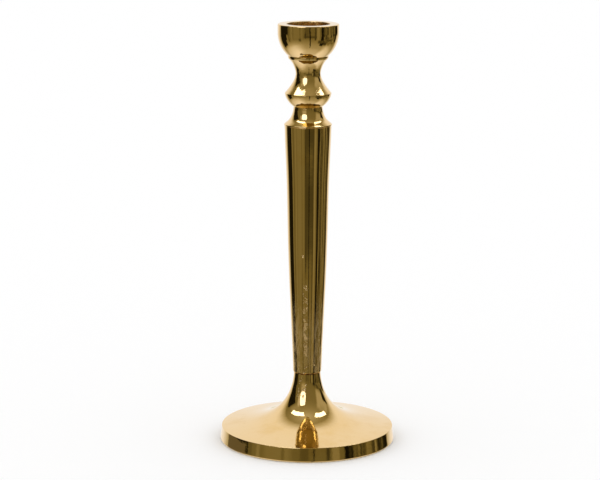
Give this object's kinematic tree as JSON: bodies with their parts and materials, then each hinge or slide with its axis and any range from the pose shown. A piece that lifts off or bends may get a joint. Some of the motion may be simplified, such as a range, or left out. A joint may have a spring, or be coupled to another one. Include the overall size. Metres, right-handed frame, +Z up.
{
  "type": "candlestick",
  "caption": "Turned brass candlestick with a tapered column, an open candle socket and a wide flared foot that stands on a felt ring.",
  "frame": {"origin": "on the turning axis, in the plane of the felt ring's underside that the candlestick stands on", "axes": "+Z up along the turning axis, out of the candle socket; +X and +Y are free, because the outside is round"},
  "size_m": [0.0938, 0.0938, 0.225],
  "materials": {
    "polished_brass": "mirror polished, with fine pits and a few hairline scratches",
    "zinc_plated_steel": "bright zinc plate",
    "felt": "dark green wool felt"
  },
  "bodies": {
    "root": {"candle_cup": "polished_brass", "neck_knop": "polished_brass", "shoulder_collar": "polished_brass", "column": "polished_brass", "foot": "polished_brass", "tie_rod": "zinc_plated_steel", "flat_washer": "zinc_plated_steel", "spring_washer": "zinc_plated_steel", "hex_nut": "zinc_plated_steel", "felt_ring": "felt"}
  },
  "joints": []
}
